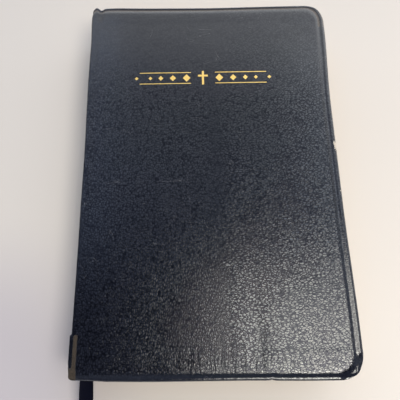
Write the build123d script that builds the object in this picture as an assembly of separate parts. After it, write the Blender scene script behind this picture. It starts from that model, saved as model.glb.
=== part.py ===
from build123d import *
import os
from math import radians, sqrt, tan

# A leather-bound Bible with a limp cover, closed and lying on its back cover.
#
# Frame: origin at the middle of the underside, +X from the spine to the fore edge, +Y from the
# tail to the head, +Z from the back cover up to the front cover. All sizes are in millimetres.
# A depth is measured inwards from the outer face of the nearer cover, so each function builds
# the front and the back of the book alike.

# ---- whole book ----
COVER_WIDTH = 140.0
COVER_HEIGHT = 213.0
BOOK_THICKNESS = 28.0
COVER_CORNER_RADIUS = 11.5
MID_Z = BOOK_THICKNESS / 2
SPINE_X = -COVER_WIDTH / 2
FORE_X = COVER_WIDTH / 2
HEAD_Y = COVER_HEIGHT / 2

# ---- hinge lines: where the covers part from the spine, and where the book opens ----
COVER_HINGE_X = SPINE_X + 2.0
COVER_HINGE_CLEARANCE = 0.15
HALF_CLEARANCE = 0.15

# ---- layers of a cover, as depths of their inner faces ----
FIT = 0.02
SKIN_DEPTH = 0.80
BOARD_DEPTH = 1.45
TURN_IN_DEPTH = 1.85
COVER_DEPTH = 2.00
LIP_WIDTH = 4.2
EDGE_ROUNDING = 0.7
TURN_IN_WIDTH = 12.0
PASTEDOWN_INSET = 2.5

# ---- text block ----
FLYLEAF_DEPTH = 2.20
FLYLEAF_THICKNESS = 0.15
BLOCK_DEPTH = 2.40
BLOCK_HALF_GAP = 0.45
SIGNATURES_PER_HALF = 12
LEAF_WIDTH = 131.8
LEAF_CORNER_RADIUS = 8.0
SQUARE = 5.0
BLOCK_HEAD_Y = HEAD_Y - SQUARE
TURNING_LEAF_THICKNESS = 0.10
LOWER_LEAF_Z = 13.95
UPPER_LEAF_Z = 14.15

# ---- rounded spine: concentric layers about one centre line along Y ----
LEATHER_OUTER_RADIUS = 61.0
LEATHER_INNER_RADIUS = 59.8
LINING_RADII = (59.40, 59.72)
MULL_RADII = (59.08, 59.34)
SEWING_RADII = (58.65, 59.02)
BLOCK_RADIUS = 58.6
SPINE_CENTRE_X = SPINE_X + LEATHER_OUTER_RADIUS
SHOULDER_DEPTH = 0.25
LINING_HALF_LENGTH = 100.5
MULL_HALF_LENGTH = 95.0

# ---- sewing ----
TAPE_STATIONS = (-62.0, 0.0, 62.0)
TAPE_WIDTH = 12.0
KETTLE_STATIONS = (-88.0, 88.0)
THREAD_WIDTH = 0.5

# ---- bands at the head and tail of the spine, and the leather cap that hides them ----
BAND_RADII = (57.9, 59.6)
BAND_HEIGHT = 1.8
BAND_END_DEPTH = 2.7
CAP_INNER_RADIUS = 58.9
CAP_LENGTH = 2.9

# ---- ribbon marker ----
RIBBON_WIDTH = 6.35
RIBBON_THICKNESS = 0.25
RIBBON_X = -63.5
RIBBON_Z = 13.725
RIBBON_FLOOR_Z = 0.15
RIBBON_RUNS_Y = (-BLOCK_HEAD_Y, -121.5, -137.0, -155.5)
ARC_SHARE = 0.45

# ---- gold ornament, centred in the upper part of the front cover ----
ORNAMENT_CENTRE = (-2.6, 56.0)
FOIL_RECESS = 0.05
FOIL_THICKNESS = 0.04
CROSS_HEIGHT = 9.0
CROSS_SPAN = 5.8
CROSS_ARM = 1.2
CROSS_ARM_LIFT = 1.4
LOZENGES = ((9.5, 4.4, 5.0), (17.5, 3.6, 4.0), (24.5, 2.8, 3.2), (30.5, 2.2, 2.4))
RULE_SPAN = (7.0, 36.5)
RULE_OFFSET = 3.6
RULE_WIDTH = 0.45
END_DOT_X = 38.2
END_DOT_RADIUS = 0.9


def box_between(x_range, y_range, z_range):
    """Rectangular block between two opposite corners."""
    spans = [sorted(pair) for pair in (x_range, y_range, z_range)]
    centre = [(low + high) / 2 for low, high in spans]
    return Pos(*centre) * Box(*[high - low for low, high in spans])


def level(side, depth):
    """Height of a face at a depth below the outer face of the side's cover."""
    return depth if side == "back" else BOOK_THICKNESS - depth


def levels(side, outer_depth, inner_depth):
    """The two heights of a layer, the lower one first."""
    return sorted((level(side, outer_depth), level(side, inner_depth)))


def sheet(x_range, half_height, z_range, corner_radius):
    """Flat sheet with its two fore-edge corners rounded."""
    x0, x1 = x_range
    outline = Pos((x0 + x1) / 2, 0) * Rectangle(x1 - x0, 2 * half_height)
    fore_corners = outline.vertices().group_by(Axis.X)[-1]
    outline = fillet(fore_corners, corner_radius)
    return Pos(0, 0, z_range[0]) * extrude(outline, z_range[1] - z_range[0])


def spine_shell(radii, y_range, z_range):
    """Part of a round shell about the spine's centre line, between two heights."""
    inner, outer = radii
    length = abs(y_range[1] - y_range[0])
    ring = Cylinder(outer, length) - Cylinder(inner, length)
    ring = Pos(SPINE_CENTRE_X, sum(y_range) / 2, MID_Z) * Rot(90, 0, 0) * ring
    return ring & box_between((SPINE_X - 1, SPINE_X + 6), y_range, z_range)


def spine_edge_x(height):
    """Where the folds of the text block lie at a height."""
    return SPINE_CENTRE_X - sqrt(BLOCK_RADIUS**2 - (height - MID_Z) ** 2)


def leaf_span(height):
    """Spine and fore edges of a leaf at a height; the fore edge is as hollow as the spine is round."""
    fold_x = spine_edge_x(height)
    return fold_x, fold_x + LEAF_WIDTH


# ---- covers ----
def cover_leather(side):
    """Leather skin of a cover, turned in along three edges, where it makes a limp lip past the board."""
    hinge_x = COVER_HINGE_X + COVER_HINGE_CLEARANCE
    plate = sheet((hinge_x, FORE_X), HEAD_Y, levels(side, 0, TURN_IN_DEPTH), COVER_CORNER_RADIUS)
    outer_face = plate.faces().sort_by(Axis.Z)[0 if side == "back" else -1]
    rounded_edges = outer_face.edges().sort_by(Axis.X)[1:]
    plate = fillet(rounded_edges, EDGE_ROUNDING)
    board_pocket = sheet(
        (hinge_x - 1, FORE_X - LIP_WIDTH),
        HEAD_Y - LIP_WIDTH,
        levels(side, SKIN_DEPTH, BOARD_DEPTH + FIT),
        COVER_CORNER_RADIUS - LIP_WIDTH,
    )
    window = box_between(
        (hinge_x - 1, FORE_X - TURN_IN_WIDTH),
        (TURN_IN_WIDTH - HEAD_Y, HEAD_Y - TURN_IN_WIDTH),
        levels(side, SKIN_DEPTH, TURN_IN_DEPTH + 1),
    )
    return plate - board_pocket - window


def cover_board(side):
    """Thin flexible board inside the leather."""
    edge = LIP_WIDTH + FIT
    return sheet(
        (COVER_HINGE_X + 1.0, FORE_X - edge),
        HEAD_Y - edge,
        levels(side, SKIN_DEPTH + FIT, BOARD_DEPTH),
        COVER_CORNER_RADIUS - edge,
    )


def cover_filler(side):
    """Card that levels the inside of the cover between the turned-in edges."""
    edge = TURN_IN_WIDTH + FIT
    return box_between(
        (COVER_HINGE_X + 1.0, FORE_X - edge),
        (edge - HEAD_Y, HEAD_Y - edge),
        levels(side, BOARD_DEPTH + FIT, TURN_IN_DEPTH),
    )


def pastedown(side):
    """Endpaper glued to the inside of the cover over the turned-in leather."""
    return sheet(
        (COVER_HINGE_X + 0.5, FORE_X - PASTEDOWN_INSET),
        HEAD_Y - PASTEDOWN_INSET,
        levels(side, TURN_IN_DEPTH + FIT, COVER_DEPTH),
        COVER_CORNER_RADIUS - PASTEDOWN_INSET,
    )


# ---- ornament ----
def lozenge(x, width, height):
    """Upright diamond."""
    corners = [(x - width / 2, 0), (x, height / 2), (x + width / 2, 0), (x, -height / 2)]
    return make_face(Polyline(*corners, close=True))


def ornament_faces():
    """Plain cross between two tapering rows of lozenges, each row under and over a fine rule."""
    upright = Rectangle(CROSS_ARM, CROSS_HEIGHT)
    cross_arm = Pos(0, CROSS_ARM_LIFT) * Rectangle(CROSS_SPAN, CROSS_ARM)
    faces = [upright + cross_arm]
    for sign in (-1, 1):
        faces += [lozenge(sign * x, width, height) for x, width, height in LOZENGES]
        middle = sign * sum(RULE_SPAN) / 2
        for offset in (-RULE_OFFSET, RULE_OFFSET):
            faces.append(Pos(middle, offset) * Rectangle(RULE_SPAN[1] - RULE_SPAN[0], RULE_WIDTH))
        faces.append(Pos(sign * END_DOT_X, 0) * Circle(END_DOT_RADIUS))
    return faces


def ornament_solids(outer_depth, inner_depth):
    """The ornament's shapes as thin solids between two depths below the front cover's face."""
    low, high = levels("front", outer_depth, inner_depth)
    place = Pos(*ORNAMENT_CENTRE, low)
    return [place * extrude(face, high - low) for face in ornament_faces()]


# ---- text block ----
def signature(side, index):
    """One folded and sewn gathering of leaves, counted inwards from the cover."""
    thickness = (MID_Z - BLOCK_HALF_GAP - BLOCK_DEPTH) / SIGNATURES_PER_HALF
    outer_depth = BLOCK_DEPTH + index * thickness
    z_range = levels(side, outer_depth, outer_depth + thickness - FIT)
    return sheet(
        leaf_span(level(side, outer_depth)), BLOCK_HEAD_Y, z_range, LEAF_CORNER_RADIUS
    )


def flyleaf(side):
    """Free half of the endpaper, on the outside of the text block."""
    return sheet(
        leaf_span(level(side, FLYLEAF_DEPTH)),
        BLOCK_HEAD_Y,
        levels(side, FLYLEAF_DEPTH, FLYLEAF_DEPTH + FLYLEAF_THICKNESS),
        LEAF_CORNER_RADIUS,
    )


def turning_leaf(bottom_z):
    """Single leaf that lifts where the book opens."""
    return sheet(
        leaf_span(MID_Z),
        BLOCK_HEAD_Y,
        (bottom_z, bottom_z + TURNING_LEAF_THICKNESS),
        LEAF_CORNER_RADIUS,
    )


# ---- spine ----
def spine_levels(side, outer_depth):
    """Heights of a spine layer from a shoulder to the line where the book opens."""
    return levels(side, outer_depth, MID_Z - HALF_CLEARANCE)


def spine_leather(side):
    """Half of the leather over the spine, with its shoulder, head cap and tail cap."""
    radii = (LEATHER_INNER_RADIUS, LEATHER_OUTER_RADIUS)
    shell = spine_shell(radii, (-HEAD_Y, HEAD_Y), spine_levels(side, SHOULDER_DEPTH))
    for sign in (-1, 1):
        cap_span = (sign * (HEAD_Y - CAP_LENGTH), sign * HEAD_Y)
        cap_radii = (CAP_INNER_RADIUS, LEATHER_INNER_RADIUS + FIT)
        shell += spine_shell(cap_radii, cap_span, spine_levels(side, FLYLEAF_DEPTH))
    hinge_x = COVER_HINGE_X - COVER_HINGE_CLEARANCE
    cover_room = box_between(
        (hinge_x, hinge_x + 10), (-HEAD_Y - 1, HEAD_Y + 1), levels(side, -1, FLYLEAF_DEPTH - 0.1)
    )
    return shell - cover_room


def spine_layer(side, radii, half_length):
    """Half of one of the layers glued between the folds and the leather."""
    return spine_shell(radii, (-half_length, half_length), spine_levels(side, BLOCK_DEPTH))


def sewing_tapes(side):
    """Three cloth tapes that the gatherings are sewn to."""
    return [
        spine_shell(
            SEWING_RADII, (y - TAPE_WIDTH / 2, y + TAPE_WIDTH / 2), spine_levels(side, BLOCK_DEPTH)
        )
        for y in TAPE_STATIONS
    ]


def sewing_thread(side):
    """Stitches across the folds: the kettle stitches, and those on both sides of each tape."""
    beside_tape = TAPE_WIDTH / 2 + THREAD_WIDTH
    stations = list(KETTLE_STATIONS)
    stations += [y + sign * beside_tape for y in TAPE_STATIONS for sign in (-1, 1)]
    return [
        spine_shell(
            SEWING_RADII,
            (y - THREAD_WIDTH / 2, y + THREAD_WIDTH / 2),
            spine_levels(side, BLOCK_DEPTH),
        )
        for y in stations
    ]


def end_band(side, sign):
    """Half of the woven band at the head (sign 1) or the tail (sign -1) of the spine."""
    y_span = (sign * (BLOCK_HEAD_Y + FIT), sign * (BLOCK_HEAD_Y + BAND_HEIGHT))
    return spine_shell(BAND_RADII, y_span, spine_levels(side, BAND_END_DEPTH))


# ---- ribbon ----
def ribbon_marker():
    """The stretch of ribbon that lies between the leaves."""
    half_width = RIBBON_WIDTH / 2
    return box_between(
        (RIBBON_X - half_width, RIBBON_X + half_width),
        (-BLOCK_HEAD_Y, BLOCK_HEAD_Y),
        (RIBBON_Z - RIBBON_THICKNESS / 2, RIBBON_Z + RIBBON_THICKNESS / 2),
    )


def ribbon_tail():
    """The stretch of ribbon that hangs out at the tail and lies on the table."""
    heights = (RIBBON_Z, RIBBON_Z, RIBBON_FLOOR_Z, RIBBON_FLOOR_Z)
    route = [Vector(RIBBON_X, y, z) for y, z in zip(RIBBON_RUNS_Y, heights)]
    runs = [after - before for before, after in zip(route, route[1:])]
    radii = []
    for run, next_run in zip(runs, runs[1:]):
        half_turn = radians(run.get_angle(next_run)) / 2
        radii.append(ARC_SHARE * min(run.length, next_run.length) / tan(half_turn))
    print("ribbon arc radii:", [round(radius, 1) for radius in radii])
    path = FilletPolyline(*route, radius=radii)
    start = Plane(origin=path @ 0, x_dir=(1, 0, 0), z_dir=path % 0)
    strip = sweep(start * Rectangle(RIBBON_WIDTH, RIBBON_THICKNESS), path=path)
    section_area = RIBBON_WIDTH * RIBBON_THICKNESS
    print("ribbon length:", round(path.length, 1), "from volume:", round(strip.volume / section_area, 1))
    return strip


def book():
    """Every piece of the book, by name."""
    pieces = {}
    for side in ("front", "back"):
        leather = cover_leather(side)
        if side == "front":
            leather -= ornament_solids(-1, FOIL_RECESS)
        pieces[f"{side}_cover_leather"] = leather
        pieces[f"{side}_cover_board"] = cover_board(side)
        pieces[f"{side}_cover_filler"] = cover_filler(side)
        pieces[f"{side}_pastedown"] = pastedown(side)
        pieces[f"{side}_flyleaf"] = flyleaf(side)
        for index in range(SIGNATURES_PER_HALF):
            number = index + 1 if side == "front" else 2 * SIGNATURES_PER_HALF - index
            pieces[f"signature_{number:02d}"] = signature(side, index)
        pieces[f"spine_leather_{side}"] = spine_leather(side)
        pieces[f"spine_lining_{side}"] = spine_layer(side, LINING_RADII, LINING_HALF_LENGTH)
        pieces[f"spine_mull_{side}"] = spine_layer(side, MULL_RADII, MULL_HALF_LENGTH)
        pieces[f"sewing_tapes_{side}"] = Compound(sewing_tapes(side))
        pieces[f"sewing_thread_{side}"] = Compound(sewing_thread(side))
        pieces[f"headband_{side}"] = end_band(side, 1)
        pieces[f"tailband_{side}"] = end_band(side, -1)
    pieces["turning_leaf_lower"] = turning_leaf(LOWER_LEAF_Z)
    pieces["turning_leaf_upper"] = turning_leaf(UPPER_LEAF_Z)
    pieces["cover_ornament"] = Compound(
        ornament_solids(FOIL_RECESS - FOIL_THICKNESS, FOIL_RECESS)
    )
    pieces["ribbon_marker"] = ribbon_marker()
    pieces["ribbon_tail"] = ribbon_tail()
    return pieces


os.makedirs("parts", exist_ok=True)
for name, piece in book().items():
    export_step(piece, f"parts/{name}.step")
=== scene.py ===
"""A worn leather-bound Bible, closed on a pale table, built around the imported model.

Pieces are shaped in millimetres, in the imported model's frame, and turned into metres when each
mesh is made. Every piece keeps its rest position in the attribute "rest", so that its material
stays put on it when it bends.
"""
import math

import bmesh
import bpy
import numpy as np
from mathutils import Matrix, Vector


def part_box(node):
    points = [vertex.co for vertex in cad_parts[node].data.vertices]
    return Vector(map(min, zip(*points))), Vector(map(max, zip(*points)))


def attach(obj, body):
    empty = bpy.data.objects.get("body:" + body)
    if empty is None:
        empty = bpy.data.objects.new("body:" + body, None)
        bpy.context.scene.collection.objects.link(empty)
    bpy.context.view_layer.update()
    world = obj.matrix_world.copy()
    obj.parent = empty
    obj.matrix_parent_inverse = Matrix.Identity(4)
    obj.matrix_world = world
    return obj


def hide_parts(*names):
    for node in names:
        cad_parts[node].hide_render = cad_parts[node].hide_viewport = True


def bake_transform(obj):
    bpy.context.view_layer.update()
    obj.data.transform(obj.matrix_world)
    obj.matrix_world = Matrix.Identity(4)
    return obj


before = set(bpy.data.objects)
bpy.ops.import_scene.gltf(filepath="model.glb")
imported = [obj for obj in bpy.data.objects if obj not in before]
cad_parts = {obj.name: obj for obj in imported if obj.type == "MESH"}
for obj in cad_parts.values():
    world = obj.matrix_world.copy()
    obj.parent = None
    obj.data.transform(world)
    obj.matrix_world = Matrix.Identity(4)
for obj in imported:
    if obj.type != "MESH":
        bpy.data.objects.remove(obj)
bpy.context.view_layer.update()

MM = 0.001
scene = bpy.context.scene


# ---------------------------------------------------------------- sizes from the frame
def corners_mm(node):
    """Lowest and highest corner of a CAD node, in millimetres."""
    low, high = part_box(node)
    return np.array(low) / MM, np.array(high) / MM


FORE_X, HEAD_Y, TOP_Z = corners_mm("front_cover_leather")[1]
SPINE_X = corners_mm("spine_leather_front")[0][0]
MID_Z = TOP_Z / 2
BLOCK_LOW, BLOCK_HIGH = corners_mm("signature_12")
LEAF_WIDTH = BLOCK_HIGH[0] - BLOCK_LOW[0]
BLOCK_HEAD_Y = BLOCK_HIGH[1]

# ---- outer face of the cover in section: flat, a round shoulder, then the round spine ----
SPINE_RADIUS = 61.0
SPINE_CENTRE_X = SPINE_X + SPINE_RADIUS
BLOCK_RADIUS = 58.6
SHOULDER_RADIUS = 1.2
SHOULDER_X = SPINE_CENTRE_X - math.sqrt(
    (SPINE_RADIUS - SHOULDER_RADIUS) ** 2 - (MID_Z - SHOULDER_RADIUS) ** 2
)
SHOULDER_TURN = math.atan2(SPINE_CENTRE_X - SHOULDER_X, MID_Z - SHOULDER_RADIUS)
SHOULDER_LENGTH = SHOULDER_RADIUS * SHOULDER_TURN
SPINE_HALF_TURN = math.asin((MID_Z - SHOULDER_RADIUS) / (SPINE_RADIUS - SHOULDER_RADIUS))
SEAM_HEIGHT = 7.0
SEAM_TURN = math.asin(SEAM_HEIGHT / SPINE_RADIUS)
SEAM_S = -(SHOULDER_LENGTH + SPINE_RADIUS * (SPINE_HALF_TURN - SEAM_TURN))
FORE_S = FORE_X - SHOULDER_X
CORNER_RADIUS = 11.5
GRID_EDGE_Y = HEAD_Y - CORNER_RADIUS
GRID_EDGE_S = FORE_S - CORNER_RADIUS
SKIN_THICKNESS = 0.8
CORNER_SEGMENTS = 16

# The cover's edge in section, from the outer face round the lip to the turned-in leather and
# back under the skin: distance in from the edge, and depth below the outer face.
LIP_PROFILE = (
    (9.5, 0.0), (7.5, 0.0), (6.4, 0.0), (5.7, 0.02), (5.2, 0.07), (4.7, 0.16), (4.25, 0.25),
    (3.8, 0.32), (3.35, 0.34), (2.95, 0.30), (2.55, 0.23), (2.15, 0.16), (1.8, 0.12), (1.45, 0.14),
    (1.1, 0.23), (0.8, 0.39), (0.5, 0.62), (0.27, 0.90), (0.1, 1.18), (0.02, 1.45), (0.18, 1.78),
    (0.5, 1.93), (1.0, 1.98), (1.8, 1.94), (2.8, 1.87), (4.5, 1.85), (8.0, 1.85), (11.3, 1.85),
    (11.3, 1.48), (8.0, 1.48), (5.4, 1.47), (4.7, 1.38), (4.4, 1.15), (4.7, 0.90), (5.6, 0.81),
    (8.5, 0.80),
)
SPINE_TURN_IN = 5.8


# ---------------------------------------------------------------- small helpers
def smooth(values):
    """Smoothstep of values, clipped to 0..1."""
    t = np.clip(values, 0.0, 1.0)
    return t * t * (3 - 2 * t)


def ramp(values, start, end):
    """Smooth 0 to 1 as values go from start to end."""
    return smooth((np.asarray(values, float) - start) / (end - start))


def fade(values, start, end):
    """Smooth 1 to 0 as values go from start to end."""
    return 1 - ramp(values, start, end)


def bell(values, centre, width):
    """Rounded bump of height 1."""
    return np.exp(-(((np.asarray(values, float) - centre) / width) ** 2))


def lattice(ix, iy, seed):
    """Repeatable pseudo-random number from 0 to 1 for each whole-number place."""
    value = np.sin(ix * 127.1 + iy * 311.7 + seed * 74.7) * 43758.5453
    return value - np.floor(value)


def wander(x, y, size, seed):
    """Smooth random surface from -1 to 1 whose features are about size across."""
    u, v = np.asarray(x, float) / size, np.asarray(y, float) / size
    iu, iv = np.floor(u), np.floor(v)
    fu, fv = smooth(u - iu), smooth(v - iv)
    low = lattice(iu, iv, seed) * (1 - fu) + lattice(iu + 1, iv, seed) * fu
    high = lattice(iu, iv + 1, seed) * (1 - fu) + lattice(iu + 1, iv + 1, seed) * fu
    return 2 * (low * (1 - fv) + high * fv) - 1


def new_piece(name, points, faces, materials, face_slots=None, crease_degrees=35, colours=None):
    """Mesh object from points in millimetres, with its rest position kept as an attribute."""
    points = np.asarray(points, float).reshape(-1, 3)
    mesh = bpy.data.meshes.new(name)
    mesh.from_pydata((points * MM).tolist(), [], faces)
    rest = mesh.attributes.new("rest", "FLOAT_VECTOR", "POINT")
    rest.data.foreach_set("vector", points.astype(np.float32).ravel())
    if colours is not None:
        wear = mesh.attributes.new("wear", "FLOAT_COLOR", "POINT")
        rgba = np.ones((len(points), 4), np.float32)
        rgba[:, :3] = colours
        wear.data.foreach_set("color", rgba.ravel())
    for material in materials:
        mesh.materials.append(material)
    if face_slots is not None:
        mesh.polygons.foreach_set("material_index", np.asarray(face_slots, np.int32))
    mesh.shade_smooth()
    mesh.set_sharp_from_angle(angle=math.radians(crease_degrees))
    mesh.validate()
    piece = bpy.data.objects.new(name, mesh)
    scene.collection.objects.link(piece)
    if len(faces) > 1:
        face_outward(mesh)
    return piece


def face_outward(mesh):
    """Makes a closed mesh's faces point outward."""
    shell = bmesh.new()
    shell.from_mesh(mesh)
    bmesh.ops.recalc_face_normals(shell, faces=shell.faces)
    shell.to_mesh(mesh)
    shell.free()


def point(x, y, z):
    """A place given in millimetres, in metres."""
    return (x * MM, y * MM, z * MM)


def tube_faces(rows, ring):
    """Faces of a tube made of closed rings of points, then its first and its last ring as faces."""
    sides = []
    for row in range(rows - 1):
        for k in range(ring):
            a, b = row * ring + k, row * ring + (k + 1) % ring
            sides.append((a, b, b + ring, a + ring))
    return sides, tuple(range(ring)), tuple(range((rows - 1) * ring, rows * ring))


def two_layer_faces(count_x, count_y):
    """Faces of a thin closed sheet: two equal grids of points, joined round their border."""
    shift = count_x * count_y
    faces = []
    for i in range(count_x - 1):
        for j in range(count_y - 1):
            a = i * count_y + j
            quad = (a, a + 1, a + count_y + 1, a + count_y)
            faces.append(quad)
            faces.append(tuple(k + shift for k in quad[::-1]))
    border = [i * count_y for i in range(count_x)]
    border += [(count_x - 1) * count_y + j for j in range(1, count_y)]
    border += [i * count_y + count_y - 1 for i in range(count_x - 2, -1, -1)]
    border += list(range(count_y - 2, 0, -1))
    for a, b in zip(border, border[1:] + border[:1]):
        faces.append((a, a + shift, b + shift, b))
    return faces


def directions(path):
    """Unit direction at each point of a path."""
    along = np.gradient(path, axis=0)
    return along / np.linalg.norm(along, axis=1)[:, None]


# ---------------------------------------------------------------- shader helpers
class Shader:
    """One material's node tree, with short ways to add and join nodes."""

    def __init__(self, name, on_cad=False):
        self.material = bpy.data.materials.new(name)
        self.material.use_nodes = True
        self.nodes = self.material.node_tree.nodes
        self.links = self.material.node_tree.links
        self.surface = self.nodes["Principled BSDF"]
        if on_cad:
            metres = self.add("ShaderNodeTexCoord").outputs["Object"]
            self.place = self.vector("SCALE", metres, scale=1 / MM)
        else:
            self.place = self.add("ShaderNodeAttribute", attribute_name="rest").outputs["Vector"]

    def add(self, kind, inputs=None, **settings):
        node = self.nodes.new(kind)
        for key, value in settings.items():
            setattr(node, key, value)
        for key, value in (inputs or {}).items():
            self.feed(node.inputs[key], value)
        return node

    def feed(self, socket, value):
        if isinstance(value, bpy.types.NodeSocket):
            self.links.new(value, socket)
        else:
            socket.default_value = value

    def math(self, operation, a, b=0.0, clamp=False):
        node = self.add("ShaderNodeMath", {0: a, 1: b}, operation=operation)
        node.use_clamp = clamp
        return node.outputs[0]

    def plus(self, a, b):
        return self.math("ADD", a, b)

    def minus(self, a, b):
        return self.math("SUBTRACT", a, b)

    def times(self, a, b):
        return self.math("MULTIPLY", a, b)

    def most(self, a, b):
        return self.math("MAXIMUM", a, b)

    def size_of(self, a):
        """a without its sign."""
        return self.math("ABSOLUTE", a)

    def vector(self, operation, a, b=(0, 0, 0), scale=1.0):
        node = self.add("ShaderNodeVectorMath", {0: a}, operation=operation)
        if operation == "SCALE":
            self.feed(node.inputs["Scale"], scale)
        else:
            self.feed(node.inputs[1], b)
        return node.outputs[0]

    def split(self, vector):
        return self.add("ShaderNodeSeparateXYZ", {0: vector}).outputs

    def stretched(self, factors):
        """The place with each axis scaled, for a texture that is longer one way."""
        return self.vector("MULTIPLY", self.place, factors)

    def noise(self, scale, detail=3.0, at=None):
        inputs = {"Vector": at or self.place, "Scale": scale, "Detail": detail, "Roughness": 0.55}
        return self.add("ShaderNodeTexNoise", inputs).outputs["Fac"]

    def scatter(self, scale, detail, amount):
        """Noise of a given range, half of it below 0."""
        return self.times(self.minus(self.noise(scale, detail), 0.5), amount)

    def cells(self, scale, feature="F1", at=None):
        inputs = {"Vector": at or self.place, "Scale": scale, "Randomness": 1.0}
        return self.add("ShaderNodeTexVoronoi", inputs, feature=feature).outputs["Distance"]

    def wave(self, scale, direction, distortion, detail=2.0, detail_scale=1.0):
        inputs = {"Vector": self.place, "Scale": scale, "Distortion": distortion,
                  "Detail": detail, "Detail Scale": detail_scale}
        node = self.add("ShaderNodeTexWave", inputs, bands_direction=direction)
        return node.outputs["Fac"]

    def between(self, value, low, high, out_low=0.0, out_high=1.0):
        """value mapped from low..high to out_low..out_high, clipped, smooth at both ends."""
        inputs = {"Value": value, "From Min": low, "From Max": high,
                  "To Min": out_low, "To Max": out_high}
        node = self.add("ShaderNodeMapRange", inputs, interpolation_type="SMOOTHSTEP")
        return node.outputs["Result"]

    def blend(self, factor, a, b):
        node = self.add("ShaderNodeMix", data_type="RGBA")
        self.feed(node.inputs["Factor"], factor)
        self.feed(node.inputs[6], a)
        self.feed(node.inputs[7], b)
        return node.outputs[2]

    def blend_value(self, factor, a, b):
        node = self.add("ShaderNodeMix", data_type="FLOAT")
        for index, value in ((0, factor), (2, a), (3, b)):
            self.feed(node.inputs[index], value)
        return node.outputs[0]

    def bump(self, height, distance_mm, strength=1.0, under=None):
        inputs = {"Height": height, "Distance": distance_mm * MM, "Strength": strength}
        node = self.add("ShaderNodeBump", inputs)
        if under is not None:
            self.links.new(under, node.inputs["Normal"])
        return node.outputs["Normal"]

    def finish(self, **inputs):
        for key, value in inputs.items():
            self.feed(self.surface.inputs[key.replace("_", " ")], value)
        return self.material


def rgb(red, green, blue):
    """A colour with full opacity."""
    return (red, green, blue, 1.0)


# ---------------------------------------------------------------- camera and floor
CAMERA_PLACE = (-5.35, -78.85, TOP_Z + 202.4)
CAMERA_FORWARD = Vector((-0.0003, 0.2869, -0.9579))
CAMERA_RIGHT = Vector((0.9999, -0.0147, -0.0047))
CAMERA_LENS = 36.0
SENSOR_WIDTH = 36.0
FLOOR_HALF_SIZE = 1500.0
# Centre of the painted bluish shade on the table, beside the tail end of the spine.
SHADE_PATCH_X, SHADE_PATCH_Y = -125.0, -115.0


def make_camera():
    """Looks down on the book from its tail end."""
    data = bpy.data.cameras.new("camera")
    data.lens = CAMERA_LENS
    data.sensor_width = SENSOR_WIDTH
    data.clip_start = 0.01
    camera = bpy.data.objects.new("camera", data)
    forward = CAMERA_FORWARD.normalized()
    up = CAMERA_RIGHT.cross(forward).normalized()
    right = forward.cross(up)
    turn = Matrix((right, up, -forward)).transposed().to_4x4()
    camera.matrix_world = Matrix.Translation(point(*CAMERA_PLACE)) @ turn
    scene.collection.objects.link(camera)
    scene.camera = camera


def make_floor():
    """A pale table, with a painted bluish shade beside the tail end of the spine."""
    half = FLOOR_HALF_SIZE
    corners = [(-half, -half, 0), (half, -half, 0), (half, half, 0), (-half, half, 0)]
    shader = Shader("pale_table")
    tone = shader.noise(0.004, 2.0)
    colour = shader.blend(tone, rgb(0.59, 0.59, 0.595), rgb(0.635, 0.64, 0.65))
    x, y = shader.split(shader.place)[:2]
    # Painted shade: the table's colour turns darker and bluish near the tail end of the spine.
    away = shader.plus(shader.math("POWER", shader.minus(x, SHADE_PATCH_X), 2.0),
                       shader.math("POWER", shader.minus(y, SHADE_PATCH_Y), 2.0))
    painted_shade = shader.between(shader.math("SQRT", away), 25.0, 105.0, 0.85, 0.0)
    colour = shader.blend(painted_shade, colour, rgb(0.45, 0.45, 0.525))
    material = shader.finish(Base_Color=colour, Roughness=0.5, Specular_IOR_Level=0.3)
    floor = new_piece("floor", corners, [(0, 1, 2, 3)], [material])


# ---------------------------------------------------------------- ribbon
RIBBON_LOW, RIBBON_HIGH = corners_mm("ribbon_marker")
RIBBON_WIDTH = RIBBON_HIGH[0] - RIBBON_LOW[0]
RIBBON_SPREAD = 1.20
RIBBON_X = (RIBBON_HIGH[0] + RIBBON_LOW[0]) / 2
RIBBON_Z = (RIBBON_HIGH[2] + RIBBON_LOW[2]) / 2
RIBBON_FLOOR_Z = 0.15
RIBBON_ROUTE = (
    (RIBBON_X, -BLOCK_HEAD_Y, RIBBON_Z),
    (RIBBON_X, -121.5, RIBBON_Z),
    (RIBBON_X, -137.0, RIBBON_FLOOR_Z),
    (RIBBON_X, -155.5, RIBBON_FLOOR_Z),
)
RIBBON_SIDE_STEPS = 12
RIBBON_LEAST_Z = 0.02


def ribbon_path():
    """Points, in metres, along the smooth curve that the ribbon's free end follows."""
    curve = bpy.data.curves.new("ribbon_route", "CURVE")
    curve.dimensions = "3D"
    curve.resolution_u = 24
    spline = curve.splines.new("NURBS")
    spline.points.add(len(RIBBON_ROUTE) - 1)
    for control, place in zip(spline.points, RIBBON_ROUTE):
        control.co = (*point(*place), 1.0)
    spline.order_u = 3
    spline.use_endpoint_u = True
    guide = bpy.data.objects.new("ribbon_route", curve)
    scene.collection.objects.link(guide)
    line = bpy.data.meshes.new_from_object(guide)
    path = [tuple(vertex.co) for vertex in line.vertices]
    bpy.data.objects.remove(guide)
    bpy.data.meshes.remove(line)
    return path


def ribbon_material(on_cad):
    """Black satin ribbon: fine ribs across, a firmer woven edge and a soft shine."""
    name = "ribbon_satin_inner" if on_cad else "ribbon_satin"
    shader = Shader(name, on_cad)
    ribs = shader.wave(0.9, "Y", 0.6, detail_scale=3.0)
    threads = shader.wave(1.6, "X", 0.3)
    weave = shader.math("MULTIPLY_ADD", threads, 0.5)
    shader.feed(weave.node.inputs[2], ribs)
    normal = shader.bump(weave, 0.05, 0.8)
    tone = shader.blend(ribs, rgb(0.0008, 0.0015, 0.0085), rgb(0.0022, 0.0030, 0.0130))
    return shader.finish(Base_Color=tone, Roughness=0.55, Specular_IOR_Level=0.10, Normal=normal)


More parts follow.
